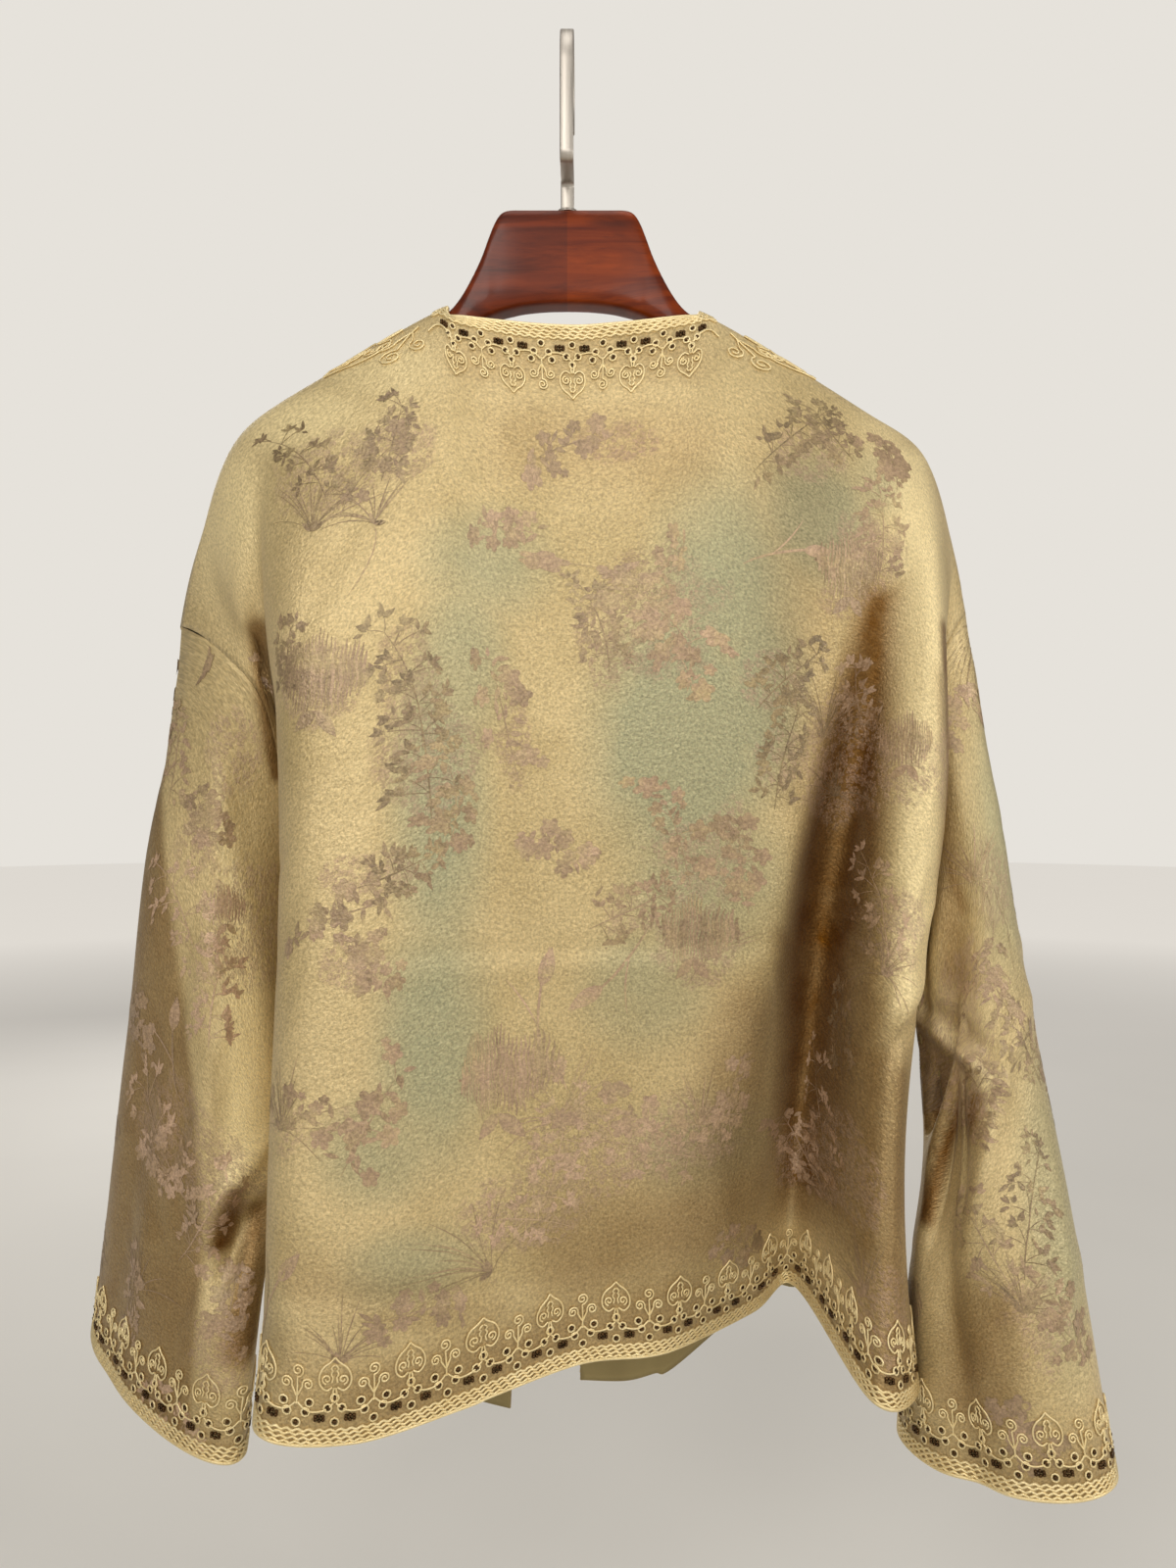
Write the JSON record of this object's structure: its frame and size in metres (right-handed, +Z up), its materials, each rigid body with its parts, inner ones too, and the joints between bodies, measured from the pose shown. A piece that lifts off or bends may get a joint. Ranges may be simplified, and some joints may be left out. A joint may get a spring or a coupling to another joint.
{
  "type": "cardigan on a hanger",
  "caption": "Short open-front silk jacquard cardigan jacket with dropped shoulders and braided edges, hanging on a contoured wooden hanger with a flat steel hook.",
  "frame": {"origin": "top of the hook's inner curve, where it bears on its rail", "axes": "+Z up; +X along the hanger, to the right as the garment's back is looked at; -Y out of the garment's back, +Y out of its open front"},
  "size_m": [0.5869, 0.1934, 0.7927],
  "materials": {
    "silk": "satin",
    "braid": "satin",
    "wood_dark": "gloss",
    "wood_light": "gloss",
    "steel": "satin"
  },
  "bodies": {
    "root": {"back": "silk", "front_left": "silk", "front_right": "silk", "sleeve_left": "silk", "sleeve_right": "silk", "braid_hem_back": "braid", "braid_neck_back": "braid", "braid_hem_front_left": "braid", "braid_neck_front_left": "braid", "braid_hem_front_right": "braid", "braid_neck_front_right": "braid", "braid_cuff_left": "braid", "braid_cuff_right": "braid", "hanger_left": "wood_dark", "hanger_right": "wood_light", "hook": "steel", "hook_collar": "steel"}
  },
  "joints": []
}
